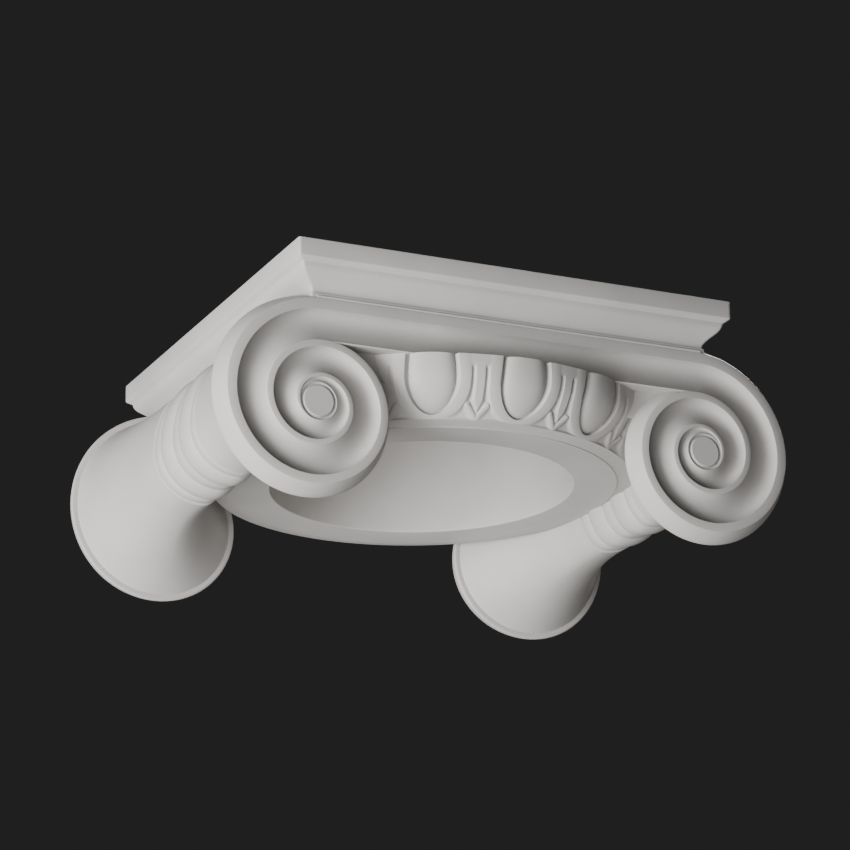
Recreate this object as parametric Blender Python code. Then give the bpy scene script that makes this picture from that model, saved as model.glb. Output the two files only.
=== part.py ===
"""Ionic column capital, one moulded piece.

Frame: origin on the floor plane under the middle of the abacus, +Z up, front face toward -Y,
metres. The left and right halves mirror each other. It stands on the four volute rims.
"""
import math

import bmesh
import bpy

# Driving sizes, in metres and turns
ABACUS_SIDE = 0.375          # square plan of the abacus at its fascia
ABACUS_CORNER_R = 0.0022     # small rounding of the abacus corners
FASCIA_H = 0.0145            # flat upright band at the top
STEP_IN = 0.0045             # chamfer under the fascia, inward
STEP_H = 0.0031              # and its height
CYMA_IN = 0.0176             # inset of the foot of the reversed cyma
CYMA_H = 0.0192              # height of the reversed cyma
FILLET_IN = 0.0161           # inset of the small fillet under the cyma
FILLET_H = 0.0045            # its height
FACE_IN = 0.0145             # inset of the front volute faces behind the abacus fascia
BACK_IN = 0.0185             # the same at the back

EYE_IN = 0.0213              # eye centre inside the abacus side
SCROLL_GAP = 0.0001          # top of the spiral below the abacus foot
SPIRAL_TOP_R = 0.0826        # spiral radius straight above the eye, outer edge
EYE_R = 0.0151               # radius the spiral runs out on
SPIRAL_TURNS = 2.455         # turns over which the spiral would reach the eye
SPIRAL_POWER = 1.31          # how fast the coils close up
SPIRAL_END = 2.25            # turns that are carved
LISTEL_W = 0.0088            # width of the flat listel at the top
LISTEL_END_W = 0.0026        # and at the end of the spiral
CHANNEL_DEPTH = 0.0088       # depth of the hollow between the listels
CHANNEL_WALL = 0.42          # how steeply it falls from the listel, lower is steeper
CHANNEL_RISE = 0.95          # and how it rises to the next coil
EYE_GROOVE_W = 0.0026        # ring groove around the eye
EYE_GROOVE_DEPTH = 0.0022

SLAB_LIP = 0.0010            # plain edge under the hollow between the volutes
SLAB_LIP_BACK = 0.0004       # its step behind the listels

RIM_DEPTH = 0.0162           # thickness of the rim behind the volute face
RIM_OUT = 0.0066             # how far the rim swells beyond the listel
RIM_LIP = 0.0050             # step in behind the rim
BELL_POWER = 2.7             # curve of the bolster between rim and waist

WAIST_X_SHARE = 0.1925       # middle of the waist section outside the eye, as a share of the spiral top
WAIST_RISE_SHARE = 0.1538    # and above the eye
WAIST_OUT_SHARE = 0.4576     # reach of the waist section outward
WAIST_IN_SHARE = 0.2676      # inward
WAIST_UP_SHARE = 0.6780      # upward
WAIST_DOWN_SHARE = 0.4455    # downward
NECK_LIFT = 0.0026           # the plain neck stands this far outside the grooves of the band
BAND_Y = -0.0176             # middle of the moulded band, forward of the capital's middle
BAND_HALF = 0.0440           # half its length
BAND_ROLLS = (0.0130, 0.0237, 0.0146, 0.0237, 0.0130)  # shares of its length, front to back
BAND_LIFTS = (0.0020, 0.0034, 0.0015, 0.0034, 0.0020)  # heights of the rolls

ECHINUS_TOP_R = 0.1945       # egg band, top edge radius
ECHINUS_LEDGE_DROP = 0.0008  # top edge below the first coil of the volute
ECHINUS_BATTER = 0.0235      # the foot is smaller than the top by this much
ECHINUS_H = 0.0458           # height of the egg band
ECHINUS_SWELL = 0.0065       # belly of the band's section
ECHINUS_LEDGE_RISE = 0.0030  # rise of the ledge on top of the band, toward the middle
EGG_COUNT = 16               # eggs around the full ring
EGG_HALF_SHARE = 0.55        # egg groove half width as a share of half a bay
SHELL_HALF_SHARE = 0.80      # outside of the shell, same measure
DART_HALF_SHARE = 0.12       # half width of the dart, same measure
EGG_GROOVE_DEPTH = 0.0038
DART_GROOVE_DEPTH = 0.0021
UNDERSIDE_STEP = 0.0023      # flat underside below the foot of the egg band
UNDERSIDE_IN = 0.0125        # crease where the flat underside ends, inside the foot
RING_W = 0.0350              # flat underside from the crease to the bore
TOP_PLATE = 0.0300           # thickness left over the bore

CORE_IN = 0.0005             # body under the abacus: its sides inside the fillet
CORE_BEHIND = 0.0145         # its ends behind the volute faces, within the rims
CORE_DOWN = 0.0223           # and its foot below the top of the egg band

TURN_STEPS = 28              # spiral steps per turn
CHANNEL_AT = (0.26, 0.62)    # where the hollow is bent, as shares of its width
BORE_STEPS = 52
EGG_STEPS = 10               # steps around one egg


def spiralRadius(turn):
    """Outer edge of the listel: a power law from the top radius down to the eye."""
    left = max(1.0 - turn / SPIRAL_TURNS, 0.0)
    return EYE_R + (SPIRAL_TOP_R - EYE_R) * left ** SPIRAL_POWER


def listelWidth(turn):
    share = min(turn / SPIRAL_END, 1.0)
    return LISTEL_W + (LISTEL_END_W - LISTEL_W) * share ** 0.8


HALF = ABACUS_SIDE / 2
FACE_Y = HALF - FACE_IN                           # front volute faces at -FACE_Y
BACK_Y = HALF - BACK_IN                           # back ones at BACK_Y
ABACUS_H = FASCIA_H + STEP_H + CYMA_H + FILLET_H
EYE_X = HALF - EYE_IN
EYE_DROP = ABACUS_H + SCROLL_GAP + SPIRAL_TOP_R   # eye centre below the abacus top
TOP_Z = EYE_DROP + spiralRadius(0.5) + RIM_OUT    # the rims stand on zero
EYE_Z = TOP_Z - EYE_DROP
WAIST_X = EYE_X + WAIST_X_SHARE * SPIRAL_TOP_R
WAIST_Z = EYE_Z + WAIST_RISE_SHARE * SPIRAL_TOP_R
ECHINUS_TOP_DROP = EYE_DROP - spiralRadius(1.0) + ECHINUS_LEDGE_DROP
ECHINUS_FOOT_DROP = ECHINUS_TOP_DROP + ECHINUS_H
ECHINUS_FOOT_R = ECHINUS_TOP_R - ECHINUS_BATTER
UNDERSIDE_DROP = ECHINUS_FOOT_DROP + UNDERSIDE_STEP
UNDERSIDE_R = ECHINUS_FOOT_R - UNDERSIDE_IN
BORE_R = UNDERSIDE_R - RING_W


class Shell:
    """Vertex and face lists for one closed body."""

    def __init__(self):
        self.points = []
        self.faces = []

    def add(self, point):
        self.points.append(point)
        return len(self.points) - 1

    def row(self, points):
        return [self.add(p) for p in points]

    def face(self, *corners):
        self.faces.append(corners)

    def strip(self, first, second, closed=False):
        """Quads between two rows of the same length."""
        last = len(first) if closed else len(first) - 1
        for i in range(last):
            j = (i + 1) % len(first)
            self.faces.append((first[i], first[j], second[j], second[i]))

    def build(self, name):
        mesh = bpy.data.meshes.new(name)
        mesh.from_pydata(self.points, [], self.faces)
        work = bmesh.new()
        work.from_mesh(mesh)
        bmesh.ops.recalc_face_normals(work, faces=work.faces)
        work.to_mesh(mesh)
        work.free()
        item = bpy.data.objects.new(name, mesh)
        bpy.context.collection.objects.link(item)
        return item


def squareRow(half, z, cornerR):
    """A square ring with rounded corners."""
    points = []
    for cx, cy, start in ((1, 1, 0.0), (-1, 1, 90.0), (-1, -1, 180.0), (1, -1, 270.0)):
        for k in range(4):
            a = math.radians(start + 30.0 * k)
            points.append((cx * (half - cornerR) + cornerR * math.cos(a),
                           cy * (half - cornerR) + cornerR * math.sin(a), z))
    return points


def makeAbacus():
    """Fascia, chamfer, reversed cyma and fillet as rounded square rings, closed top and bottom."""
    profile = [(0.0, 0.0), (0.0, FASCIA_H), (STEP_IN, FASCIA_H + STEP_H)]
    steps = 8
    for k in range(1, steps + 1):
        t = k / steps
        # reversed cyma: convex above, hollow below, an S between its two ends
        inset = STEP_IN + (CYMA_IN - STEP_IN) * (t - math.sin(2 * math.pi * t) / (2 * math.pi) * 0.75)
        profile.append((inset, FASCIA_H + STEP_H + CYMA_H * t))
    foot = FASCIA_H + STEP_H + CYMA_H
    profile.append((FILLET_IN, foot + 0.0004))
    profile.append((FILLET_IN, foot + FILLET_H))
    shell = Shell()
    rows = [shell.row(squareRow(HALF - inset, TOP_Z - drop, ABACUS_CORNER_R)) for inset, drop in profile]
    for upper, lower in zip(rows, rows[1:]):
        shell.strip(upper, lower, closed=True)
    shell.face(*rows[0])
    shell.face(*rows[-1])
    return shell.build("abacus")


def channelScale(width):
    """Narrow hollows are cut less deep."""
    return min(1.0, max(width, 0.0) / (2.2 * CHANNEL_DEPTH))


def channelShape(t):
    """Depth of the hollow as a share of its deepest: a steep wall, then a slow rise."""
    lowest = CHANNEL_WALL / (CHANNEL_WALL + CHANNEL_RISE)
    return t ** CHANNEL_WALL * (1 - t) ** CHANNEL_RISE / (
        lowest ** CHANNEL_WALL * (1 - lowest) ** CHANNEL_RISE)


def coilRow(turn, inner):
    """Radius and depth across one coil: listel, then hollow, up to the next coil's outer edge."""
    outer = spiralRadius(turn)
    width = min(listelWidth(turn), 0.8 * (outer - inner))
    start = outer - width
    row = [(outer, 0.0), (start, 0.0)]
    depth = CHANNEL_DEPTH * channelScale(start - inner)
    for t in CHANNEL_AT:
        row.append((start + (inner - start) * t, depth * channelShape(t)))
    return row


def makeCap(shell, side, yFace, inward):
    """One carved volute face: listel and hollow follow the spiral from the top down to the eye."""
    count = TURN_STEPS
    last = round(SPIRAL_END * count)

    def place(radius, index, depth):
        a = 2 * math.pi * index / count
        return (side * (EYE_X + radius * math.sin(a)), yFace + inward * depth, EYE_Z + radius * math.cos(a))

    eyeRow = [shell.add(place(EYE_R, i, 0.0)) for i in range(count)]
    rows = []
    for k in range(last + 1):
        inner = spiralRadius((k + count) / count) if k + count <= last else EYE_R
        rows.append([shell.add(place(r, k, d)) for r, d in coilRow(k / count, inner)])

    def nextEdge(k):
        return rows[k + count][0] if k + count <= last else eyeRow[(k + count) % count]

    for k in range(last):
        here = rows[k] + [nextEdge(k)]
        there = rows[k + 1] + [nextEdge(k + 1)]
        if k + count == last:
            # the coil ends here: the chain of its end profile joins the eye
            end = rows[last]
            eyeHere = eyeRow[last % count]
            eyeNext = eyeRow[(last + 1) % count]
            for a, b in zip(end, end[1:] + [eyeHere]):
                shell.face(a, b, eyeNext)
        for a, b, c, d in zip(here, here[1:], there[1:], there):
            shell.face(a, b, c, d)
    grooveRow = [shell.add(place(EYE_R - EYE_GROOVE_W / 2, i, EYE_GROOVE_DEPTH)) for i in range(count)]
    discRow = [shell.add(place(EYE_R - EYE_GROOVE_W, i, 0.0)) for i in range(count)]
    shell.strip(eyeRow, grooveRow, closed=True)
    shell.strip(grooveRow, discRow, closed=True)
    shell.face(*discRow)
    edge = [rows[k][0] for k in range(count + 1)]
    return edge, rows[0]


def waistPoint(share, swell):
    """A point of the waist section: four quarter ellipses about one middle."""
    a = 2 * math.pi * share
    dx, dz = math.sin(a), math.cos(a)
    reachX = (WAIST_OUT_SHARE if dx > 0 else WAIST_IN_SHARE) * SPIRAL_TOP_R + swell
    reachZ = (WAIST_UP_SHARE if dz > 0 else WAIST_DOWN_SHARE) * SPIRAL_TOP_R + swell
    return WAIST_X + reachX * dx, WAIST_Z + reachZ * dz


def bandRows():
    """Place and height of each ring of the moulded band, from its front edge to its back edge."""
    total, widest = sum(BAND_ROLLS), max(BAND_ROLLS)
    start = BAND_Y - BAND_HALF
    rows = [(start, 0.0)]
    for share, height in zip(BAND_ROLLS, BAND_LIFTS):
        length = 2 * BAND_HALF * share / total
        for t in (0.2, 0.5, 0.8) if share > 0.9 * widest else (0.5,):
            rows.append((start + length * t, height * math.sqrt(math.sin(math.pi * t))))
        start += length
        rows.append((start, 0.0))
    return rows


def makeBolster(side):
    """Both volute faces of one side and the bolster between them, as one closed body."""
    shell = Shell()
    count = TURN_STEPS

    def ring(y, swell, blend, waistSwell=0.0):
        points = []
        for k in range(count + 1):
            a = 2 * math.pi * k / count
            r = spiralRadius(k / count) + swell
            x0, z0 = EYE_X + r * math.sin(a), EYE_Z + r * math.cos(a)
            if k in (0, count):
                x0 = EYE_X
            x1, z1 = waistPoint(k / (count + 1), waistSwell)
            points.append((side * (x0 + (x1 - x0) * blend), y, z0 + (z1 - z0) * blend))
        return shell.row(points)

    lipOut = RIM_OUT - RIM_LIP
    lipY = RIM_DEPTH + 0.0012
    rim = [(RIM_DEPTH * t, RIM_OUT * s, 0.0) for t, s in ((0.3, 0.43), (0.65, 0.81), (1.0, 1.0))]
    rim.append((lipY, lipOut, 0.0))

    def bell(length):
        return [(lipY + length * t, lipOut * (1.0 - t), 1.0 - (1.0 - t) ** BELL_POWER, NECK_LIFT)
                for t in (0.09, 0.22, 0.40, 0.65)] + [(lipY + length - NECK_LIFT, 0.0, 1.0, NECK_LIFT)]

    band = bandRows()
    frontRows = rim + bell(band[0][0] + FACE_Y - lipY)
    backRows = rim + bell(BACK_Y - lipY - band[-1][0])
    frontEdge, frontStart = makeCap(shell, side, -FACE_Y, 1.0)
    backEdge, backStart = makeCap(shell, side, BACK_Y, -1.0)
    rings = [frontEdge]
    rings += [ring(-FACE_Y + y, *row) for y, *row in frontRows]
    rings += [ring(y, 0.0, 1.0, lift) for y, lift in band]
    rings += [ring(BACK_Y - y, *row) for y, *row in reversed(backRows)]
    rings.append(backEdge)
    for first, second in zip(rings, rings[1:]):
        shell.strip(first, second)
    # close the top, where the section steps from the first coil up to its start: one flat face
    # at each end, deep enough to clear the hollow, and a strip between them
    flat = 3
    for first, second in zip(rings[flat:-1 - flat], rings[flat + 1:-flat]):
        shell.face(first[-1], first[0], second[0], second[-1])
    for start, near in ((frontStart, rings[1:flat + 1]), (backStart, rings[-2:-2 - flat:-1])):
        edge = rings[0] if start is frontStart else rings[-1]
        shell.face(*start, edge[-1], *(row[-1] for row in near), *(row[0] for row in reversed(near)))
    return shell.build("bolster")


def makeSlab():
    """The band between the volutes: the listel and hollow of the spiral carried straight across."""
    top = TOP_Z - ABACUS_H + 0.002
    front = [(-FACE_Y, top)]
    profile = coilRow(0.0, spiralRadius(1.0)) + [(spiralRadius(1.0), 0.0)]
    for r, d in profile:
        front.append((-FACE_Y + d, EYE_Z + r))
    lowZ = EYE_Z + spiralRadius(1.0)
    front.append((-FACE_Y + SLAB_LIP_BACK, lowZ))
    front.append((-FACE_Y + SLAB_LIP_BACK, lowZ - SLAB_LIP))
    section = front + [(BACK_Y - FACE_Y - y, z) for y, z in reversed(front)]
    shell = Shell()
    left = shell.row([(-EYE_X, y, z) for y, z in section])
    right = shell.row([(EYE_X, y, z) for y, z in section])
    shell.strip(left, right, closed=True)
    shell.face(*left)
    shell.face(*right)
    return shell.build("slab")


def makeCore():
    """The plain body under the abacus that the slab, volutes and egg band stand out from."""
    reach = HALF - FILLET_IN - CORE_IN
    front, back = -FACE_Y + CORE_BEHIND, BACK_Y - CORE_BEHIND
    plan = [(-reach, front), (reach, front), (reach, back), (-reach, back)]
    shell = Shell()
    rows = [shell.row([(x, y, TOP_Z - drop) for x, y in plan])
            for drop in (ABACUS_H - 0.0015, ECHINUS_TOP_DROP + CORE_DOWN)]
    shell.strip(rows[0], rows[1], closed=True)
    shell.face(*rows[0])
    shell.face(*rows[1])
    return shell.build("core")


def echinusPoint(angle, down, depth):
    """A point of the egg band: angle from the front, share of the way down, depth into it."""
    r = ECHINUS_TOP_R + (ECHINUS_FOOT_R - ECHINUS_TOP_R) * down
    r += ECHINUS_SWELL * math.sin(math.pi * down) - depth
    z = TOP_Z - (ECHINUS_TOP_DROP + (ECHINUS_FOOT_DROP - ECHINUS_TOP_DROP) * down)
    return (r * math.sin(angle), -r * math.cos(angle), z)


def makeEchinus():
    """Egg band, underside and core as one closed turned body with the eggs carved in its side.

    Each bay is a set of U-shaped rows around its egg, from the egg out to the middle of the darts.
    """
    shell = Shell()
    bay = 2 * math.pi / EGG_COUNT
    half = bay / 2
    # (half width as a share of half a bay, share of the way down, depth)
    levels = ((0.22, 0.50, -0.0016), (0.42, 0.78, 0.0002), (EGG_HALF_SHARE, 0.88, EGG_GROOVE_DEPTH),
              (EGG_HALF_SHARE + 0.07, 0.925, 0.0), (SHELL_HALF_SHARE, 0.965, 0.0),
              (SHELL_HALF_SHARE + 0.045, 0.98, DART_GROOVE_DEPTH), (1.0 - DART_HALF_SHARE, 1.0, 0.0))
    topRing, bays = [], []
    for egg in range(EGG_COUNT):
        middle = egg * bay
        uRows = []
        for width, foot, edgeDepth in levels:
            row = []
            depth = edgeDepth
            for k in range(EGG_STEPS + 1):
                t = k / EGG_STEPS
                # straight sides down to the waist of the egg, then a half ellipse
                a = math.pi * t
                x = -math.cos(a)
                side = min(abs(x) / 0.82, 1.0) if width < 0.9 else min(abs(x) * 1.25, 1.0)
                down = foot * (math.sin(a) ** 0.8 if 0 < k < EGG_STEPS else 0.0)
                if width > SHELL_HALF_SHARE:
                    depth = edgeDepth * (1.0 - down ** 3)
                row.append(shell.add(echinusPoint(middle + half * width * math.copysign(side, x), down, depth)))
            uRows.append(row)
        core = shell.add(echinusPoint(middle, 0.0, -0.0016))
        for k in range(EGG_STEPS):
            shell.face(core, uRows[0][k], uRows[0][k + 1])
        for first, second in zip(uRows, uRows[1:]):
            shell.strip(first, second)
        # the straight side rows shared by neighbouring bays: the middle of each dart
        edge = [shell.add(echinusPoint(middle - half, v, 0.0)) for v in (0.0, 0.35, 0.7, 1.0)]
        uRows.append(edge)
        topRing.append((edge[0], [row[0] for row in reversed(uRows[:-1])] + [core] + [row[-1] for row in uRows[:-1]]))
        bays.append((uRows[-2], edge))
    outerTop, outerFoot = [], []
    for egg in range(EGG_COUNT):
        outer, edge = bays[egg]
        nextEdge = bays[(egg + 1) % EGG_COUNT][1]
        quarter = EGG_STEPS // 2
        left, right = outer[:quarter + 1], outer[quarter:]
        bridge(shell, edge, left)
        bridge(shell, list(reversed(right)), nextEdge)
        outerTop += [topRing[egg][0]] + topRing[egg][1]
        outerFoot += [edge[-1], outer[quarter]]
    topZ = TOP_Z - ECHINUS_TOP_DROP
    inner = 0.80 * ECHINUS_TOP_R
    capTop = []
    for index in outerTop:
        x, y, z = shell.points[index]
        r = math.hypot(x, y)
        capTop.append(shell.add((x / r * inner, y / r * inner, topZ + ECHINUS_LEDGE_RISE)))
    shell.strip(outerTop, capTop, closed=True)
    shell.face(*capTop)
    crease = []
    for index in outerFoot:
        x, y, z = shell.points[index]
        r = math.hypot(x, y)
        crease.append(shell.add((x / r * UNDERSIDE_R, y / r * UNDERSIDE_R, TOP_Z - UNDERSIDE_DROP)))
    shell.strip(outerFoot, crease, closed=True)
    shell.face(*crease)
    return shell.build("echinus")


def bridge(shell, first, second):
    """Triangles between two rows of different length that share the same ends' heights."""
    i = j = 0
    while i < len(first) - 1 or j < len(second) - 1:
        goFirst = j == len(second) - 1 or (
            i < len(first) - 1 and shell.points[first[i + 1]][2] >= shell.points[second[j + 1]][2])
        if goFirst:
            shell.face(first[i], first[i + 1], second[j])
            i += 1
        else:
            shell.face(first[i], second[j + 1], second[j])
            j += 1


def makeBore():
    shell = Shell()
    low = TOP_Z - UNDERSIDE_DROP - 0.02
    high = TOP_Z - TOP_PLATE
    angles = [2 * math.pi * (k + 0.5) / BORE_STEPS for k in range(BORE_STEPS)]
    rows = [shell.row([(BORE_R * math.cos(a), BORE_R * math.sin(a), z) for a in angles]) for z in (low, high)]
    shell.strip(rows[0], rows[1], closed=True)
    shell.face(*rows[0])
    shell.face(*rows[1])
    return shell.build("bore")


def combine(target, tool, operation):
    step = target.modifiers.new(operation.lower(), "BOOLEAN")
    step.operation = operation
    step.solver = "EXACT"
    step.object = tool
    bpy.context.view_layer.update()
    graph = bpy.context.evaluated_depsgraph_get()
    mesh = bpy.data.meshes.new_from_object(target.evaluated_get(graph))
    target.modifiers.clear()
    old = target.data
    target.data = mesh
    bpy.data.meshes.remove(old)
    bpy.data.objects.remove(tool, do_unlink=True)


def fillPockets(work):
    """Remove the inward facing shell of any pocket that the joined bodies close off."""
    left = set(work.faces)
    while left:
        stack, shell = [next(iter(left))], []
        left.discard(stack[0])
        while stack:
            face = stack.pop()
            shell.append(face)
            for edge in face.edges:
                for other in edge.link_faces:
                    if other in left:
                        left.discard(other)
                        stack.append(other)
        volume = 0.0
        for face in shell:
            first, *rest = [corner.co for corner in face.verts]
            volume += sum(first.dot(a.cross(b)) for a, b in zip(rest, rest[1:])) / 6
        if volume < 0:
            print("pocket filled", len(shell), "faces", volume)
            bmesh.ops.delete(work, geom=shell, context="FACES")


def makePrimer():
    material = bpy.data.materials.new("primer")
    material.use_nodes = True
    shader = material.node_tree.nodes["Principled BSDF"]
    shader.inputs["Base Color"].default_value = (0.56, 0.545, 0.53, 1.0)
    shader.inputs["Roughness"].default_value = 0.7
    return material


def main():
    for item in list(bpy.data.objects):
        bpy.data.objects.remove(item, do_unlink=True)
    capital = makeAbacus()
    combine(capital, makeSlab(), "UNION")
    combine(capital, makeCore(), "UNION")
    combine(capital, makeBolster(1.0), "UNION")
    combine(capital, makeBolster(-1.0), "UNION")
    combine(capital, makeEchinus(), "UNION")
    combine(capital, makeBore(), "DIFFERENCE")
    capital.name = "capital"
    capital.data.name = "capital"
    work = bmesh.new()
    work.from_mesh(capital.data)
    fillPockets(work)
    # a point with only two edges is spare: the faces on both sides would be cut across it
    bmesh.ops.dissolve_verts(work, verts=[v for v in work.verts if len(v.link_edges) == 2])
    bmesh.ops.triangulate(work, faces=work.faces)
    bmesh.ops.remove_doubles(work, verts=work.verts, dist=0.000002)
    bmesh.ops.dissolve_degenerate(work, edges=work.edges, dist=0.000002)
    bmesh.ops.recalc_face_normals(work, faces=work.faces)
    work.to_mesh(capital.data)
    work.free()
    capital.data.materials.clear()
    capital.data.materials.append(makePrimer())
    print("capital triangles", len(capital.data.polygons))


main()
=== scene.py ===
# Ionic column capital, cast in one piece of rigid foam and sprayed with matt primer.
import math

import bmesh
import bpy
import numpy as np
from mathutils import Matrix


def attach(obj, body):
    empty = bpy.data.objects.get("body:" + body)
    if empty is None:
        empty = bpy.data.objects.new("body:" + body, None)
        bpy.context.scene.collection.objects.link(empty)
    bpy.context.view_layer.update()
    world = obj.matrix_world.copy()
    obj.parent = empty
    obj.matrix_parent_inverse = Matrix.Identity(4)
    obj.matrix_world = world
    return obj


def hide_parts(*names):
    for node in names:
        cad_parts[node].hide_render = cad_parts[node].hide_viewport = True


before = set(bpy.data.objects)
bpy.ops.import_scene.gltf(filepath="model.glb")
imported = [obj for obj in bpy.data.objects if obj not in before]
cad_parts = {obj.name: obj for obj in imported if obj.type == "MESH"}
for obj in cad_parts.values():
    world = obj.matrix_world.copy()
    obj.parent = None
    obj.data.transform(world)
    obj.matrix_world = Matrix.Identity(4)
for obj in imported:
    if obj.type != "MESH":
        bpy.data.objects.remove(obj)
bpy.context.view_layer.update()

# sizes in metres, angles in degrees, drops measured down from the abacus top
abacus = dict(side=0.375, cornerR=0.0022, fasciaH=0.0145, stepIn=0.0045, stepH=0.0031,
              cymaIn=0.0176, cymaH=0.0192, cymaBend=0.75, filletIn=0.0161, filletH=0.0045,
              lapIn=0.0040, filletGap=0.0004, edgeR=0.0007, cornerSteps=8, cymaSteps=22)
scroll = dict(faceIn=0.0145, backIn=0.0185, eyeX=0.1662, eyeDrop=0.1240, topR=0.0826, eyeR=0.0151,
              turns=2.455, power=1.31, end=2.25, listelW=0.0088, listelEndW=0.0026, listelPower=0.8,
              hollow=0.0090, hollowWall=0.42, hollowRise=0.95, fullWidth=2.2, edgeR=0.0006,
              grooveW=0.0032, grooveDepth=0.0026, fadeOut=0.0012,
              lip=0.0010, lipBack=0.0004, stepsPerTurn=96, hollowSteps=14)
bolster = dict(rimDepth=0.0162, rimOut=0.0064, rimFoot=0.0066, rimPower=1.5, rimLip=0.0050,
               bellPower=2.7, neckRun=0.0012, neckEnd=0.0002, neckLift=0.0026, neckFoot=0.0012,
               waistX=0.1821, waistDrop=0.1113, waistOut=0.0378, waistIn=0.0221,
               waistUp=0.0560, waistDown=0.0368, bandY=-0.0176, bandHalf=0.0440,
               bandRolls=(0.0130, 0.0237, 0.0146, 0.0237, 0.0130),
               bandLifts=(0.0024, 0.0042, 0.0018, 0.0042, 0.0024), grooveLift=0.0006,
               rollSteps=12, bellSteps=24)
tongue = dict(reach=0.0030, inset=0.0010)   # how far a scroll runs on inside the slab, and how much smaller
seamGap = 4e-6          # points closer than this are one point of a shell
mergeGap = 1e-5         # the same on the joined casting
sharpAngle = 34.0


def spiralRadius(turn):
    # outer edge of the flat listel: it closes in from the top radius to the eye by a power law
    left = np.clip(1.0 - np.asarray(turn, float) / scroll["turns"], 0.0, None)
    return scroll["eyeR"] + (scroll["topR"] - scroll["eyeR"]) * left ** scroll["power"]


def listelWidth(turn):
    # width of the flat listel: from its first to its last width by a power of the share of the spiral
    share = np.clip(np.asarray(turn, float) / scroll["end"], 0.0, 1.0)
    change = scroll["listelEndW"] - scroll["listelW"]
    return scroll["listelW"] + change * share ** scroll["listelPower"]


half = abacus["side"] / 2
faceY = half - scroll["faceIn"]
backY = half - scroll["backIn"]
topZ = scroll["eyeDrop"] + float(spiralRadius(0.5)) + bolster["rimFoot"]   # the rims stand on zero
eyeZ = topZ - scroll["eyeDrop"]
abacusFoot = abacus["fasciaH"] + abacus["stepH"] + abacus["cymaH"] + abacus["filletH"]


def gridFaces(rows, columns, closed=False):
    # four corners per cell of a grid of points; a closed row joins its last point to its first
    index = np.arange(rows * columns).reshape(rows, columns)
    after = np.roll(index, -1, axis=1)
    cells = np.stack([index[:-1], after[:-1], after[1:], index[1:]], axis=-1)
    return (cells if closed else cells[:, :-1]).reshape(-1, 4)


def makeShell(name, grids, loops=()):
    # one closed body from grids of points and flat loops that meet edge to edge
    points, faces, count = [], [], 0
    for grid, closed in grids:
        rows, columns = grid.shape[:2]
        points.append(grid.reshape(-1, 3))
        faces += (gridFaces(rows, columns, closed) + count).tolist()
        count += rows * columns
    for loop in loops:
        points.append(loop)
        faces.append(list(range(count, count + len(loop))))
        count += len(loop)
    mesh = bpy.data.meshes.new(name)
    mesh.from_pydata(np.concatenate(points).tolist(), [], faces)
    work = bmesh.new()
    work.from_mesh(mesh)
    bmesh.ops.remove_doubles(work, verts=work.verts, dist=seamGap)
    bmesh.ops.recalc_face_normals(work, faces=work.faces)
    openEdges = sum(1 for edge in work.edges if len(edge.link_faces) != 2)
    work.to_mesh(mesh)
    work.free()
    piece = bpy.data.objects.new(name, mesh)
    bpy.context.collection.objects.link(piece)
    print(name, len(mesh.polygons), "faces,", openEdges, "open edges")
    return piece


def softened(points, radius, corners, steps=3):
    # a profile whose named corners become parabolas between two points at the radius from the corner
    result = []
    for i, point in enumerate(points):
        if i not in corners:
            result.append(point)
            continue
        here, before, after = (np.array(p, float) for p in (point, points[i - 1], points[i + 1]))
        start = here + (before - here) / np.linalg.norm(before - here) * radius
        end = here + (after - here) / np.linalg.norm(after - here) * radius
        for t in np.linspace(0.0, 1.0, steps + 1):
            result.append(tuple((1 - t) ** 2 * start + 2 * t * (1 - t) * here + t ** 2 * end))
    return np.array(result, float)


def squareRings(insets, drops, cornerR, steps):
    # rounded squares, one ring for each inset and drop, all in step round the corners
    quarters = [np.linspace(90.0 * q, 90.0 * q + 90.0, steps + 1) for q in range(4)]
    turn = np.radians(np.concatenate(quarters))
    signX = np.repeat([1, -1, -1, 1], steps + 1)
    signY = np.repeat([1, 1, -1, -1], steps + 1)
    reach = (half - np.asarray(insets) - cornerR)[:, None]
    x = signX * reach + cornerR * np.cos(turn)
    y = signY * reach + cornerR * np.sin(turn)
    z = np.broadcast_to(topZ - np.asarray(drops)[:, None], x.shape)
    return np.stack([x, y, z], axis=-1)


def makeAbacus():
    # fascia, chamfer, reversed cyma (inset = t less a share of a sine) and fillet, round a square
    a = abacus
    cymaTop = a["fasciaH"] + a["stepH"]
    t = np.linspace(0.0, 1.0, a["cymaSteps"] + 1)[1:]
    wave = t - a["cymaBend"] * np.sin(2 * math.pi * t) / (2 * math.pi)
    cyma = list(zip(a["stepIn"] + (a["cymaIn"] - a["stepIn"]) * wave, cymaTop + a["cymaH"] * t))
    top = [(a["lapIn"], 0.0), (0.0, 0.0), (0.0, a["fasciaH"]), (a["stepIn"], cymaTop)]
    foot = cymaTop + a["cymaH"]
    bottom = [(a["filletIn"], foot + a["filletGap"]), (a["filletIn"], foot + a["filletH"]),
              (a["filletIn"] + a["lapIn"], foot + a["filletH"])]
    profile = softened(top + cyma + bottom, a["edgeR"], (1, 2, len(top) + len(cyma) + 1))
    rings = squareRings(profile[:, 0], profile[:, 1], a["cornerR"], a["cornerSteps"])
    return makeShell("abacus", [(rings, True)], [rings[0], rings[-1]])


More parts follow.
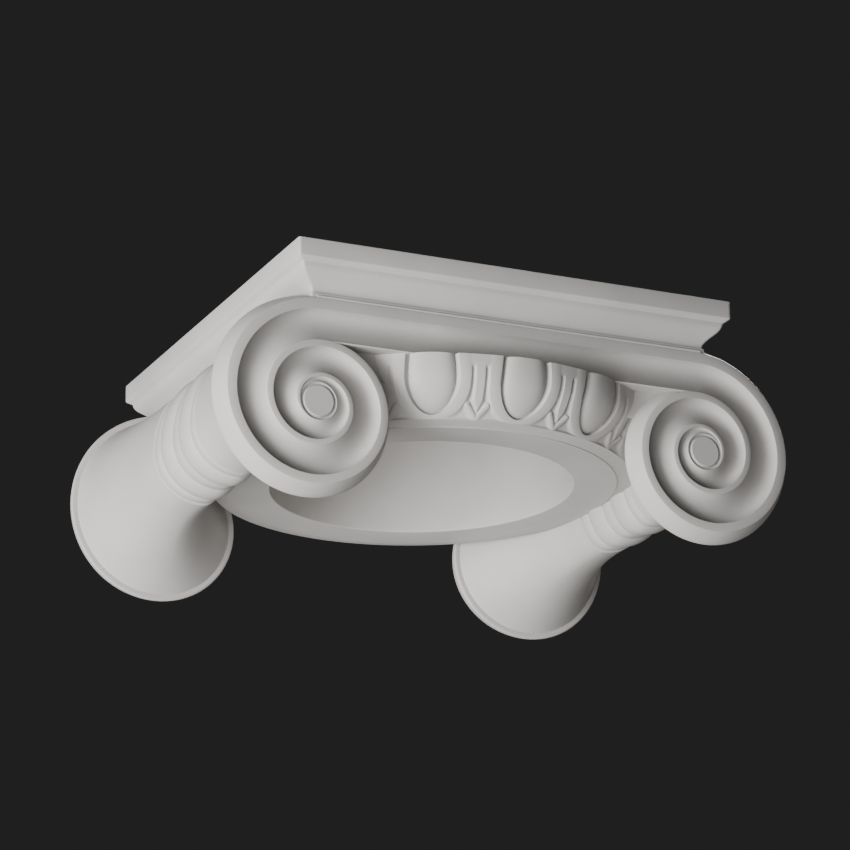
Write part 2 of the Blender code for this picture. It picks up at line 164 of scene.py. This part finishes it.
def coilSection(turn, inner):
    # radius and depth across a coil: rounded listel edge, flat listel, then the hollow up to the
    # rounded edge of the next coil. The hollow falls steeply and rises slowly: its depth is one
    # power of the way across times another power of the way left, over the highest value of that.
    # A coil narrower than a few depths is less deep
    s = scroll
    bend = 0.3          # where the middle point of a rounded edge stands, as a share of the edge
    turn, inner = np.atleast_1d(turn), np.atleast_1d(inner)
    outer = spiralRadius(turn)
    gap = outer - inner
    start = outer - np.minimum(listelWidth(turn), gap)
    edge = np.minimum(s["edgeR"], bend * (outer - start))
    room = np.maximum(start - inner, 0.0)
    deep = s["hollow"] * np.minimum(1.0, room / (s["fullWidth"] * s["hollow"]))
    t = (1.0 - np.cos(math.pi * np.linspace(0.0, 1.0, s["hollowSteps"] + 1))) / 2
    wall, rise = s["hollowWall"], s["hollowRise"]
    lowest = wall / (wall + rise)
    shape = t ** wall * (1 - t) ** rise / (lowest ** wall * (1 - lowest) ** rise)
    radii = np.concatenate([np.stack([outer, outer - bend * edge, outer - edge], -1),
                            start[:, None] - room[:, None] * t], axis=1)
    level = np.concatenate([np.stack([np.full_like(outer, s["edgeR"]), bend * edge, 0.0 * edge], -1),
                            deep[:, None] * shape + s["edgeR"] * t], axis=1)
    closing = np.minimum(1.0, gap / s["fadeOut"])[:, None]     # the last of the spiral dies into the eye
    return radii, s["edgeR"] + (level - s["edgeR"]) * closing


def scrollPoints(side, yFace, inward, turn, radii, level):
    # places a radius, a depth and an angle in turns on a volute face
    a = 2 * math.pi * turn
    return np.stack([side * (scroll["eyeX"] + radii * np.sin(a)), yFace + inward * level,
                     eyeZ + radii * np.cos(a)], axis=-1)


# ring groove of the eye: shares of its width, from its outer edge inwards, and of its depth
grooveShape = ((0.12, 0.45), (0.30, 0.80), (0.52, 1.0), (0.72, 0.88), (0.86, 0.45), (0.93, 0.15),
               (1.0, 0.0))


def makeScrollFace(side, front):
    # listel and hollow along the spiral from the top of the volute down to its eye, and the eye
    s = scroll
    yFace, inward = (-faceY, 1.0) if front else (backY, -1.0)
    n = s["stepsPerTurn"]
    last = math.ceil(s["turns"] * n)
    turn = np.arange(last + 1) / n
    inner = spiralRadius(turn + 1.0)
    radii, level = coilSection(turn, inner)
    grid = scrollPoints(side, yFace, inward, turn[:, None], radii, level)
    start = grid[0].copy()
    start[:, 0] -= side * tongue["reach"]
    start[:, 1] += inward * tongue["inset"]
    start[0, 2] -= tongue["inset"]
    ring = np.arange(n) / n
    eyeR, w = s["eyeR"], s["grooveW"]
    steps = [(0.0, s["edgeR"])] + [(t, share * s["grooveDepth"]) for t, share in grooveShape]
    eye = np.stack([scrollPoints(side, yFace, inward, ring, np.full(n, eyeR - w * t), np.full(n, d))
                    for t, d in steps])
    return np.concatenate([start[None], grid]), eye, start


def waistSection(share, swell):
    # the waist of the bolster: four quarter ellipses about one middle, each swelled by the same amount
    b = bolster
    a = 2 * math.pi * share
    dx, dz = np.sin(a), np.cos(a)
    reachX = np.where(dx > 0, b["waistOut"], b["waistIn"]) + swell
    reachZ = np.where(dz > 0, b["waistUp"], b["waistDown"]) + swell
    return b["waistX"] + reachX * dx, topZ - b["waistDrop"] + reachZ * dz


def bandProfile():
    # the moulded band on the waist: each roll rises by the root of a sine of the way across it, and
    # never sinks under the bottom of the narrow groove between two rolls
    b = bolster
    total, start = sum(b["bandRolls"]), b["bandY"] - b["bandHalf"]
    rows = [(start, 0.0)]
    for share, height in zip(b["bandRolls"], b["bandLifts"]):
        length = 2 * b["bandHalf"] * share / total
        t = (1.0 - np.cos(math.pi * np.linspace(0.0, 1.0, b["rollSteps"] + 1))) / 2
        lift = np.maximum(height * np.sqrt(np.clip(np.sin(math.pi * t), 0.0, None)), b["grooveLift"])
        rows += list(zip(start + length * t[1:], lift[1:]))
        start += length
    rows[-1] = (b["bandY"] + b["bandHalf"], 0.0)
    return rows


rimShares = (0.12, 0.24, 0.38, 0.52, 0.66, 0.80, 0.92, 1.0)          # of the way back over the rim
rimBack = ((0.0005, 0.0002), (0.0010, 0.0009), (0.0012, 0.0020))     # rounded back: further back, lower


def makeBolster(side):
    # rings from one volute face to the other: swelling rim, lip, bell, then the banded waist. The rim
    # rises to its height less a power of the way left
    b, s = bolster, scroll
    n = s["stepsPerTurn"]
    share = np.arange(n + 1) / n
    loopShare = np.arange(n + 3) / (n + 3)
    radius = spiralRadius(share)

    def ring(y, swell, blend, waistSwell=0.0):
        r = radius + swell
        a = 2 * math.pi * share
        x0, z0 = s["eyeX"] + r * np.sin(a), eyeZ + r * np.cos(a)
        x0 = np.concatenate([x0, [s["eyeX"] - tongue["reach"]] * 2])
        z0 = np.concatenate([z0, [eyeZ + radius[-1], eyeZ + radius[0] - tongue["inset"]]])
        x1, z1 = waistSection(loopShare, waistSwell)
        x, z = x0 + (x1 - x0) * blend, z0 + (z1 - z0) * blend
        return np.stack([side * x, np.full(n + 3, y), z], axis=-1)

    lipOut = b["rimOut"] - b["rimLip"]
    lipY = b["rimDepth"] + rimBack[-1][0]
    rim = [(b["rimDepth"] * t, b["rimOut"] * (1 - (1 - t) ** b["rimPower"]), 0.0) for t in rimShares]
    rim += [(b["rimDepth"] + back, b["rimOut"] - lower, 0.0) for back, lower in rimBack]
    rim.append((lipY, lipOut, 0.0))

    def bell(length):
        # from the lip to the waist: the share of the waist grows as a power of the way left
        rows = [(lipY + length * t, lipOut * (1 - t), 1 - (1 - t) ** b["bellPower"], b["neckLift"])
                for t in np.linspace(0.0, 1.0, b["bellSteps"] + 1)[1:-1]]
        return rows + [(lipY + length - b["neckRun"], 0.0, 1.0, b["neckLift"]),
                       (lipY + length - b["neckEnd"], 0.0, 1.0, b["neckFoot"])]

    grids, loops = [], []
    edges, starts = {}, {}
    for front in (True, False):
        face, eye, start = makeScrollFace(side, front)
        grids += [(face.transpose(1, 0, 2), False), (eye, True)]
        loops.append(eye[-1])
        edges[front] = np.concatenate([face[1:n + 2, 0], start[-1:], start[:1]])
        starts[front] = start
    band = bandProfile()
    frontRows = rim + bell(band[0][0] + faceY - lipY)
    backRows = rim + bell(backY - lipY - band[-1][0])
    rings = [edges[True]] + [ring(-faceY + y, *row) for y, *row in frontRows]
    rings += [ring(y, 0.0, 1.0, lift) for y, lift in band]
    rings += [ring(backY - y, *row) for y, *row in reversed(backRows)] + [edges[False]]
    rings = np.stack(rings)
    flat = len(rim)
    grids.append((rings[:, :-1], False))
    grids.append((rings[:, [-1, 0]], False))
    grids.append((rings[flat:-flat, [-2, -1]], False))
    loops.append(np.concatenate([starts[True], rings[1:flat + 1, -2], rings[flat:0:-1, -1]]))
    loops.append(np.concatenate([starts[False], rings[-2:-2 - flat:-1, -2], rings[-1 - flat:-1, -1]]))
    return makeShell("bolsterRight" if side > 0 else "bolsterLeft", grids, loops)


slab = dict(up=0.0020, topBack=0.0040, lipGap=0.0001)


def makeSlab():
    # the listel and hollow carried straight across between the volutes: one outline at two places
    s = scroll
    radii, level = coilSection(0.0, spiralRadius(1.0))
    top, edge = topZ - abacusFoot + slab["up"], s["edgeR"]
    front = [(-faceY + slab["topBack"], top), (-faceY + edge, top), (-faceY, top - edge)]
    front += list(zip(-faceY + level[0], eyeZ + radii[0]))
    low = front[-1][1]
    front += [(-faceY + s["lipBack"], low - slab["lipGap"]), (-faceY + s["lipBack"], low - s["lip"] + edge),
              (-faceY + s["lipBack"] + edge, low - s["lip"])]
    section = np.array(front + [(backY - faceY - y, z) for y, z in reversed(front)])
    x = np.array([-s["eyeX"], s["eyeX"]])
    grid = np.empty((2, len(section), 3))
    grid[..., 0], grid[..., 1:] = x[:, None], section[None]
    return makeShell("slab", [(grid, True)], [grid[0], grid[1]])


core = dict(sideIn=0.0013, behindFace=0.0145, up=0.0015, drop=0.0980)


def makeCore():
    # the plain body under the abacus that the slab, volutes and egg band stand out from: a plain box
    reach = half - abacus["filletIn"] - core["sideIn"]
    front, back = -faceY + core["behindFace"], backY - core["behindFace"]
    x = np.array([-reach, reach, reach, -reach])
    y = np.array([front, front, back, back])
    drops = abacusFoot - core["up"], core["drop"]
    rings = np.stack([np.stack([x, y, np.full(4, topZ - drop)], -1) for drop in drops])
    return makeShell("core", [(rings, True)], [rings[0], rings[1]])


eggBand = dict(topR=0.1945, topDrop=0.0757, footR=0.1710, footDrop=0.1215, swell=0.0065,
               ledgeRise=0.0030, ledgeIn=0.80, count=16, eggHalf=0.49, shellIn=0.575, shellOut=0.80,
               eggFoot=0.905, shellFoot=0.945, eggTop=0.93, belly=0.42, domePower=2.8, eggRise=0.0015,
               eggGroove=0.0042, shellPower=2.4, slotTop=0.19, slotSlope=1.6, slotDepth=0.0022,
               shaftHalf=0.0034, shaftNeck=0.72, neckShare=0.88, pointSlope=0.8, shaftPoint=0.87,
               armReach=0.0082, armTop=0.80, armFoot=0.985, armHalf=0.0012,
               creaseR=0.1585, creaseStep=0.0006, undersideDrop=0.1238,
               eggSteps=12, steps=46, dartColumns=26, crowdFrom=0.3, crowdOver=0.6, crowdPower=2.2)
# groove round the egg: way across and share of its depth; shell: way across and depth
grooveRows = ((0.08, 1.0), (0.3, 0.80), (0.65, 0.36), (0.88, 0.08), (1.0, 0.0))
shellRows = ((0.1, -0.0001), (0.35, -0.0003), (0.65, -0.0003), (0.92, -0.0001), (1.0, 0.0))


def bandPoints(angle, down, depth):
    # a point of the egg band: angle round the axis, share of the way down it, depth below its face,
    # which is a cone swelled by a sine of the way down
    e = eggBand
    r = e["topR"] + (e["footR"] - e["topR"]) * down + e["swell"] * np.sin(math.pi * down) - depth
    z = topZ - (e["topDrop"] + (e["footDrop"] - e["topDrop"]) * down)
    return np.stack([r * np.sin(angle), -r * np.cos(angle), z + 0.0 * angle], axis=-1)


def eggLevels():
    # nested U curves from the middle line of the egg out to the edge of its shell:
    # half width, lowest point, squareness, widening below the top, and depth of each
    e = eggBand
    top, foot, power = e["eggTop"], e["shellFoot"], e["shellPower"]
    q = np.sin(np.linspace(0.0, 0.5 * math.pi, e["eggSteps"] + 1))
    fall = 1 - np.sqrt(np.clip(1 - q ** e["domePower"], 0.0, None))
    dome = -e["eggRise"] + (e["eggRise"] + e["eggGroove"]) * fall
    levels = [(a, e["belly"] + (e["eggFoot"] - e["belly"]) * a / e["eggHalf"], 2.0, top, d)
              for a, d in zip(e["eggHalf"] * q, dome)]
    low = levels[-1]
    for t, share in grooveRows:
        levels.append((low[0] + (e["shellIn"] - low[0]) * t, low[1] + (foot - low[1]) * t, 2.0, top,
                       e["eggGroove"] * share))
    for t, depth in shellRows:
        levels.append((e["shellIn"] + (e["shellOut"] - e["shellIn"]) * t, foot + (1 - foot) * t,
                       2.0 + (power - 2.0) * t, top + (1 - top) * t, depth))
    return np.array(levels)


def eggCurves(levels):
    # each U as share of half a bay and share of the way down: sides that widen to the belly,
    # then a quarter of a superellipse to the lowest point in the middle
    e = eggBand
    upper = e["steps"] // 4
    t = np.linspace(0.0, 1.0, upper + 1)[:-1]
    theta = np.linspace(0.0, 0.5 * math.pi, e["steps"] - upper + 1)
    w, foot, power, top = (levels[:, i][:, None] for i in range(4))
    across = np.concatenate([w * (top + (1 - top) * np.sin(0.5 * math.pi * t)),
                             w * np.clip(np.cos(theta), 0.0, None) ** (2 / power)], axis=1)
    down = np.concatenate([np.broadcast_to(e["belly"] * t, (len(levels), upper)),
                           e["belly"] + (foot - e["belly"]) * np.sin(theta) ** (2 / power)], axis=1)
    across[:, -1] = 0.0
    return across, down


def distanceTo(x, y, line):
    # shortest distance from each point to a chain of straight pieces
    best = np.full(x.shape, 1.0)
    for (ax, ay), (bx, by) in zip(line, line[1:]):
        dx, dy = bx - ax, by - ay
        t = np.clip(((x - ax) * dx + (y - ay) * dy) / (dx * dx + dy * dy), 0.0, 1.0)
        best = np.minimum(best, np.hypot(x - ax - t * dx, y - ay - t * dy))
    return best


def dartDepth(across, down, outline):
    # ground between the shells: its depth is the distance from the nearest raised edge, the shell, the
    # shaft, the arms of the arrowhead or the foot, up to its full depth. It falls faster from the plain
    # band at the top, and a little slower beside the point of the shaft
    e = eggBand
    halfBay = math.pi / e["count"] * 0.5 * (e["topR"] + e["footR"])
    tall = math.hypot(e["footDrop"] - e["topDrop"], e["topR"] - e["footR"])
    x, y = (1.0 - across) * halfBay, down * tall
    shell = distanceTo(x, y, list(zip((1.0 - outline[0]) * halfBay, outline[1] * tall))[::2])
    point, neck = e["shaftPoint"] * tall, e["shaftNeck"] * tall
    halves = [e["shaftHalf"], e["neckShare"] * e["shaftHalf"], 0.0]
    width = np.interp(y, [0.0, neck, point], halves, right=-1.0)
    slope = np.where(y > neck, e["pointSlope"], 1.0)
    shaft = np.where(y < point, (x - width) * slope, np.hypot(x, y - point))
    armEnd = (e["armReach"], e["armTop"] * tall)
    arm = distanceTo(x, y, [(0.0, e["armFoot"] * tall), armEnd]) - e["armHalf"]
    plain = y - e["slotTop"] * tall
    near = np.minimum(np.minimum(shell, plain * e["slotSlope"]), np.minimum(shaft, arm))
    return np.clip(np.minimum(near, (1.0 - down) * tall), 0.0, e["slotDepth"])


def makeEchinus():
    # sixteen eggs in their shells with darts between them, on a turned band with a flat underside
    e = eggBand
    levels = eggLevels()
    across, down = eggCurves(levels)
    outline = across[-1], down[-1]
    upper = e["steps"] // 4
    borderDown = np.concatenate([down[-1, :upper], np.linspace(e["belly"], 1.0, e["steps"] - upper + 1)])
    q = np.linspace(0.0, 1.0, e["dartColumns"] + 1)[:, None]
    # the columns crowd towards the middle of the dart, the more so further down
    crowd = np.clip((borderDown - e["crowdFrom"]) / e["crowdOver"], 0.0, 1.0)[None]
    s = q + (1 - (1 - q) ** e["crowdPower"] - q) * crowd
    dartAcross = outline[0] + (1.0 - outline[0]) * s
    dartDown = outline[1] + (borderDown - outline[1]) * s
    depth = dartDepth(dartAcross, dartDown, outline)
    depth[0] = 0.0
    bay = 2 * math.pi / e["count"]
    grids, topAngles, topDepths, footAngles, footDepths = [], [], [], [], []
    for egg in range(e["count"]):
        for sign in (-1.0, 1.0):
            def angle(share):
                return egg * bay + sign * 0.5 * bay * share

            eggDepth = np.broadcast_to(levels[:, 4:5], across.shape)
            grids.append((bandPoints(angle(across), down, eggDepth), False))
            grids.append((bandPoints(angle(dartAcross), dartDown, depth), False))
            topAngles += [angle(across[:, 0]), angle(dartAcross[1:, 0])]
            topDepths += [levels[:, 4], depth[1:, 0]]
            footAngles.append(angle(dartAcross[:, -1]))
            footDepths.append(depth[:, -1])

    def ordered(angles, depths):
        angles, depths = np.concatenate(angles), np.concatenate(depths)
        _, first = np.unique(np.round(angles, 7), return_index=True)
        return angles[first][:-1], depths[first][:-1]

    topAngle, topDepth = ordered(topAngles, topDepths)
    footAngle, footDepth = ordered(footAngles, footDepths)

    def around(angle, radius, z):
        return np.stack([radius * np.sin(angle), -radius * np.cos(angle), np.full_like(angle, z)], axis=-1)

    ledge = np.stack([bandPoints(topAngle, 0.0, topDepth),
                      around(topAngle, e["ledgeIn"] * e["topR"], topZ - e["topDrop"] + e["ledgeRise"])])
    footRow = bandPoints(footAngle, 1.0, footDepth)
    crease = around(footAngle, e["creaseR"], topZ - e["undersideDrop"])
    step = crease + np.array([0.0, 0.0, e["creaseStep"]])
    under = np.stack([footRow, 0.5 * (footRow + step), step, crease])
    return makeShell("echinus", grids + [(ledge, True), (under, True)], [ledge[-1], crease])


bore = dict(radius=0.1235, topPlate=0.0300, mouthR=0.0009, below=0.0200,
            steps=192, wallSteps=8, mouthSteps=4)


def makeBoreCut():
    # the round hole for the shaft, a turned profile with a quarter round at its mouth; it is cut out
    # of the casting
    c = bore
    low, high = topZ - eggBand["undersideDrop"], topZ - c["topPlate"]
    turn = np.radians(np.linspace(0.0, 90.0, c["mouthSteps"] + 1))
    rows = [(c["radius"] + c["mouthR"], low - c["below"])]
    rows += [(c["radius"] + c["mouthR"] * (1 - math.sin(t)), low + c["mouthR"] * (1 - math.cos(t)))
             for t in turn]
    rows += [(c["radius"], z) for z in np.linspace(low + c["mouthR"], high, c["wallSteps"] + 1)[1:]]
    angle = 2 * math.pi * (np.arange(c["steps"]) + 0.5) / c["steps"]
    rings = np.stack([np.stack([r * np.cos(angle), r * np.sin(angle), np.full_like(angle, z)], -1)
                      for r, z in rows])
    return makeShell("boreCut", [(rings, True)], [rings[0], rings[-1]])


def keepMainShell(work):
    # drops every shell but the largest: closed pockets inside the casting and slivers left by the joins
    left, shells = set(work.faces), []
    while left:
        stack, shell = [left.pop()], []
        while stack:
            face = stack.pop()
            shell.append(face)
            near = {other for edge in face.edges for other in edge.link_faces} & left
            left -= near
            stack += near
        shells.append(shell)
    shells.sort(key=len)
    for shell in shells[:-1]:
        bmesh.ops.delete(work, geom=shell, context="FACES")


def castTogether(first, others, cut):
    # joins the shells into one solid and cuts the bore
    for tool in others + [cut]:
        step = first.modifiers.new(tool.name, "BOOLEAN")
        step.operation = "DIFFERENCE" if tool is cut else "UNION"
        step.solver = "MANIFOLD"
        step.object = tool
    graph = bpy.context.evaluated_depsgraph_get()
    mesh = bpy.data.meshes.new_from_object(first.evaluated_get(graph))
    for tool in others + [cut, first]:
        bpy.data.objects.remove(tool, do_unlink=True)
    work = bmesh.new()
    work.from_mesh(mesh)
    bmesh.ops.remove_doubles(work, verts=work.verts, dist=mergeGap)
    bmesh.ops.dissolve_degenerate(work, edges=work.edges, dist=mergeGap)
    # a point with only two edges is spare: the faces on both sides would be cut across it
    bmesh.ops.dissolve_verts(work, verts=[v for v in work.verts if len(v.link_edges) == 2])
    keepMainShell(work)
    bmesh.ops.triangulate(work, faces=[face for face in work.faces if len(face.verts) > 4])
    openEdges = sum(1 for edge in work.edges if len(edge.link_faces) != 2)
    work.to_mesh(mesh)
    work.free()
    mesh.shade_smooth()
    mesh.set_sharp_from_angle(angle=math.radians(sharpAngle))
    mesh.name = "capitalCast"
    cast = bpy.data.objects.new("capitalCast", mesh)
    bpy.context.collection.objects.link(cast)
    mesh.calc_loop_triangles()
    print("capital cast:", len(mesh.loop_triangles), "triangles,", openEdges, "open edges")
    return cast


def toLinear(code):
    # sRGB hex to linear
    parts = [int(code[i:i + 2], 16) / 255 for i in (1, 3, 5)]
    return tuple(c / 12.92 if c <= 0.04045 else ((c + 0.055) / 1.055) ** 2.4 for c in parts) + (1.0,)


def addNode(tree, kind, values=None, links=None, **settings):
    # one node with its settings, its socket values and its incoming links
    node = tree.nodes.new(kind)
    for key, value in settings.items():
        setattr(node, key, value)
    for key, value in (values or {}).items():
        node.inputs[key].default_value = value
    for key, socket in (links or {}).items():
        tree.links.new(socket, node.inputs[key])
    return node


primerCoat = dict(light="#c0bdba", dark="#b6b3b0", cloud=0.055, cloudDetail=3.0, cloudRoughness=0.55,
                  speckle=0.0016, speckleShare=0.35, darkBelow=0.45, lightAbove=0.90, fineDetail=2.0,
                  peel=0.0017, peelHeight=0.00006, peelStrength=0.35, swell=0.016, swellHeight=0.00012,
                  swellStrength=0.5, roughness=(0.52, 0.62), ior=1.46, specular=0.35)


def makePrimer():
    # matt primer sprayed over rigid polyurethane foam: an even warm white with faint clouds where the
    # coat is thinner, a fine spray texture, and the very slight waviness of a moulded skin
    p = primerCoat
    material = bpy.data.materials.new("sprayedPrimerOnFoam")
    material.use_nodes = True
    tree = material.node_tree
    tree.nodes.clear()
    place = addNode(tree, "ShaderNodeTexCoord").outputs["Object"]
    cloud = addNode(tree, "ShaderNodeTexNoise", {"Scale": 1 / p["cloud"], "Detail": p["cloudDetail"],
                                                  "Roughness": p["cloudRoughness"]}, {"Vector": place})
    speckle = addNode(tree, "ShaderNodeTexNoise", {"Scale": 1 / p["speckle"], "Detail": p["fineDetail"]},
                      {"Vector": place})
    blend = addNode(tree, "ShaderNodeMath", {1: p["speckleShare"]}, {0: speckle.outputs["Fac"]},
                    operation="MULTIPLY")
    both = addNode(tree, "ShaderNodeMath", None, {0: cloud.outputs["Fac"], 1: blend.outputs[0]},
                   operation="ADD")
    share = addNode(tree, "ShaderNodeMapRange", {"From Min": p["darkBelow"], "From Max": p["lightAbove"]},
                    {"Value": both.outputs[0]})
    colour = addNode(tree, "ShaderNodeMix", {6: toLinear(p["dark"]), 7: toLinear(p["light"])},
                     {0: share.outputs["Result"]}, data_type="RGBA")
    rough = addNode(tree, "ShaderNodeMapRange", {"To Min": p["roughness"][0], "To Max": p["roughness"][1]},
                    {"Value": cloud.outputs["Fac"]})
    swell = addNode(tree, "ShaderNodeTexNoise", {"Scale": 1 / p["swell"], "Detail": 1.0}, {"Vector": place})
    peel = addNode(tree, "ShaderNodeTexNoise", {"Scale": 1 / p["peel"], "Detail": p["fineDetail"]},
                   {"Vector": place})
    wave = addNode(tree, "ShaderNodeBump", {"Strength": p["swellStrength"], "Distance": p["swellHeight"]},
                   {"Height": swell.outputs["Fac"]})
    grain = addNode(tree, "ShaderNodeBump", {"Strength": p["peelStrength"], "Distance": p["peelHeight"]},
                    {"Height": peel.outputs["Fac"], "Normal": wave.outputs["Normal"]})
    shader = addNode(tree, "ShaderNodeBsdfPrincipled",
                     {"IOR": p["ior"], "Specular IOR Level": p["specular"]},
                     {"Base Color": colour.outputs[2], "Roughness": rough.outputs["Result"],
                      "Normal": grain.outputs["Normal"]})
    addNode(tree, "ShaderNodeOutputMaterial", None, {"Surface": shader.outputs[0]})
    return material


abacusShell = makeAbacus()
otherShells = [makeSlab(), makeCore(), makeBolster(1.0), makeBolster(-1.0), makeEchinus()]
cast = castTogether(abacusShell, otherShells, makeBoreCut())
cast.data.materials.clear()
cast.data.materials.append(makePrimer())
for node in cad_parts:
    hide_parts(node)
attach(cast, "root")
print("primer coat on the casting")

studio = dict(floorDrop=1.05, floorSize=16.0, floorColour="#d6d4d1", floorRoughness=0.9,
              worldColour="#262626", worldStrength=1.0, lampTarget=(0.0, 0.0, 0.1))
lampSpread = 70.0     # degrees; a grid on each soft box keeps its light off the floor
lamps = {
    "keyLeft": dict(place=(-2.23, -0.90, -0.41), size=1.0, power=10.6),
    "lowLeft": dict(place=(-1.09, -0.44, -0.45), size=1.0, power=3.4),
    "fillLow": dict(place=(-0.83, -0.83, -0.45), size=1.0, power=1.8),
    "backHigh": dict(place=(1.9, 1.9, 1.8), size=1.4, power=30.0),
}


def makeStudio():
    # pale matt floor well below the raised capital, an even dim surround and soft square lamps, each
    # turned to the middle of the capital
    s = studio
    h = s["floorSize"] / 2
    mesh = bpy.data.meshes.new("studioFloor")
    mesh.from_pydata([(-h, -h, -s["floorDrop"]), (h, -h, -s["floorDrop"]), (h, h, -s["floorDrop"]),
                      (-h, h, -s["floorDrop"])], [], [(0, 1, 2, 3)])
    floor = bpy.data.objects.new("studioFloor", mesh)
    bpy.context.collection.objects.link(floor)
    paint = bpy.data.materials.new("mattFloorPaint")
    paint.use_nodes = True
    inputs = paint.node_tree.nodes["Principled BSDF"].inputs
    inputs["Base Color"].default_value = toLinear(s["floorColour"])
    inputs["Roughness"].default_value = s["floorRoughness"]
    mesh.materials.append(paint)
    world = bpy.data.worlds.new("studioSurround")
    world.use_nodes = True
    back = world.node_tree.nodes["Background"]
    back.inputs["Color"].default_value = toLinear(s["worldColour"])
    back.inputs["Strength"].default_value = s["worldStrength"]
    bpy.context.scene.world = world
    for name, lamp in lamps.items():
        data = bpy.data.lights.new(name, "AREA")
        data.shape, data.size, data.energy = "SQUARE", lamp["size"], lamp["power"]
        data.spread = math.radians(lampSpread)
        item = bpy.data.objects.new(name, data)
        bpy.context.collection.objects.link(item)
        item.location = lamp["place"]
        item.visible_camera = False
        towards = np.array(s["lampTarget"]) - np.array(lamp["place"])
        item.rotation_euler = Matrix(lookAxes(towards)).transposed().to_euler()


def lookAxes(direction, roll=0.0):
    # right, up and back axes of something that looks along a direction, rolled about it
    forward = np.array(direction, float) / np.linalg.norm(direction)
    right = np.cross(forward, (0.0, 0.0, 1.0))
    right /= np.linalg.norm(right)
    up = np.cross(right, forward)
    c, s = math.cos(roll), math.sin(roll)
    return [tuple(c * right + s * up), tuple(c * up - s * right), tuple(-forward)]


# place in metres, focal length and frame in pixels, sensor in millimetres
view = dict(place=(-1.12778, -2.3640, -0.74576), heading=25.588, climb=18.42, roll=-1.175,
            focal=3374.38, frame=850, sensor=36.0, nearest=0.05, farthest=60.0)


def makeCamera():
    # below and to the left of the front face, looking up at the underside; the lens is the focal
    # length in pixels times the sensor's width over the frame's
    v = view
    yaw, climb = math.radians(v["heading"]), math.radians(v["climb"])
    direction = (math.sin(yaw) * math.cos(climb), math.cos(yaw) * math.cos(climb), math.sin(climb))
    data = bpy.data.cameras.new("photoCamera")
    data.sensor_width = v["sensor"]
    data.lens = v["sensor"] * v["focal"] / v["frame"]
    data.clip_start, data.clip_end = v["nearest"], v["farthest"]
    camera = bpy.data.objects.new("photoCamera", data)
    bpy.context.collection.objects.link(camera)
    turn = Matrix(lookAxes(direction, math.radians(v["roll"]))).transposed().to_4x4()
    camera.matrix_world = Matrix.Translation(v["place"]) @ turn
    bpy.context.scene.camera = camera


makeStudio()
makeCamera()
print("floor, lamps and camera")
